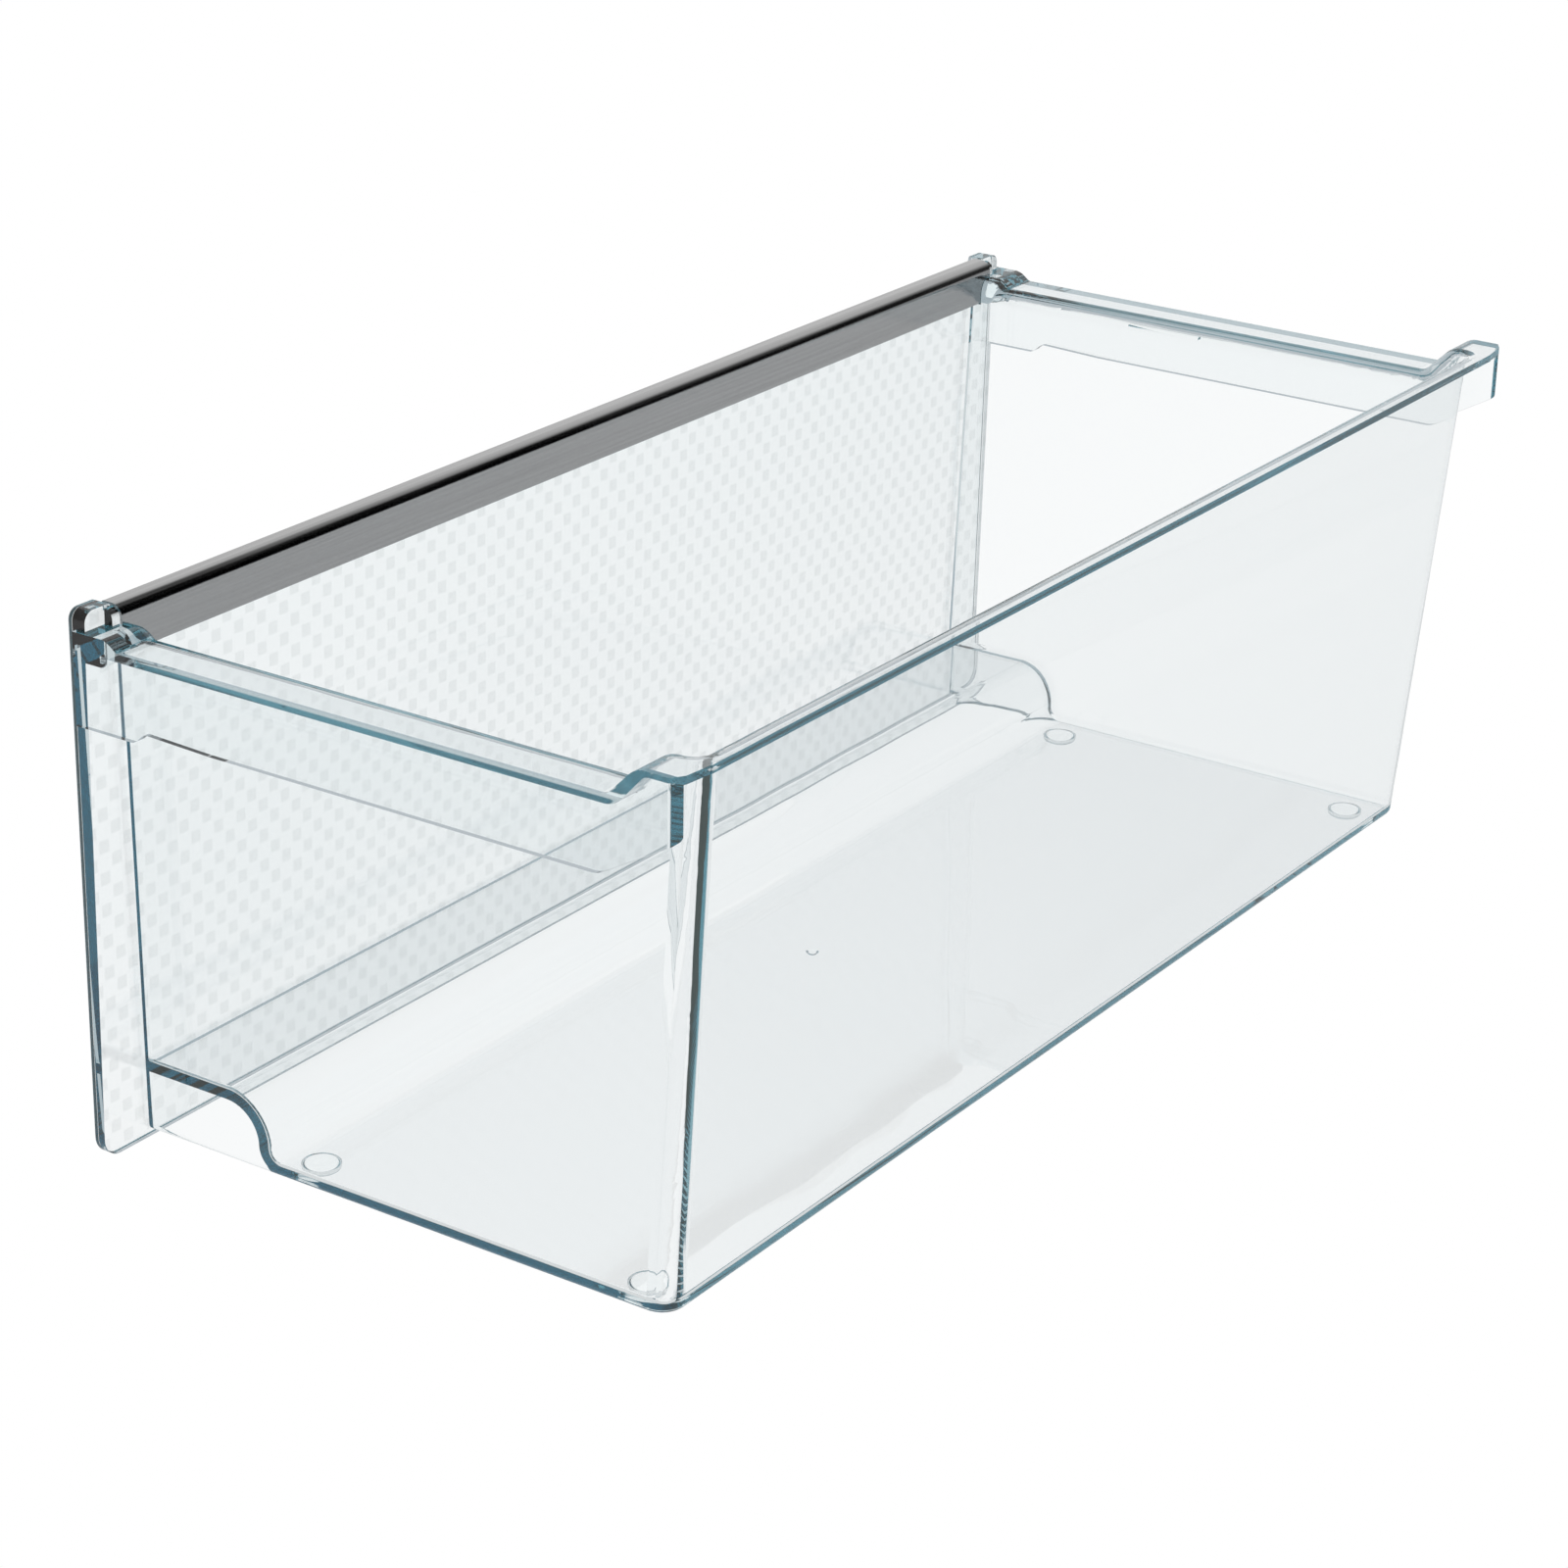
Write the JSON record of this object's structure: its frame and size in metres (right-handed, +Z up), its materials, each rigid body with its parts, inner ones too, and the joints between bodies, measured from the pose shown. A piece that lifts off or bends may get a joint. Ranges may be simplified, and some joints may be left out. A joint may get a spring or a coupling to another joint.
{
  "type": "refrigerator drawer",
  "caption": "Clear pull-out refrigerator drawer with a checker-patterned front panel, a brushed metal trim strip, side runner flanges and a stepped floor.",
  "frame": {"origin": "middle of the outline in plan, at the underside of the feet", "axes": "+X across the compartment, -Y the patterned front, +Z up"},
  "size_m": [0.4432, 0.191, 0.1566],
  "materials": {
    "clear_plastic": "clear, glossy",
    "patterned_plastic": "clear with a satin checker pattern",
    "satin_metal": "satin, brushed along its length"
  },
  "bodies": {
    "root": {"drawer_body": "clear_plastic", "decor_plate": "patterned_plastic", "trim_strip": "satin_metal"}
  },
  "joints": []
}
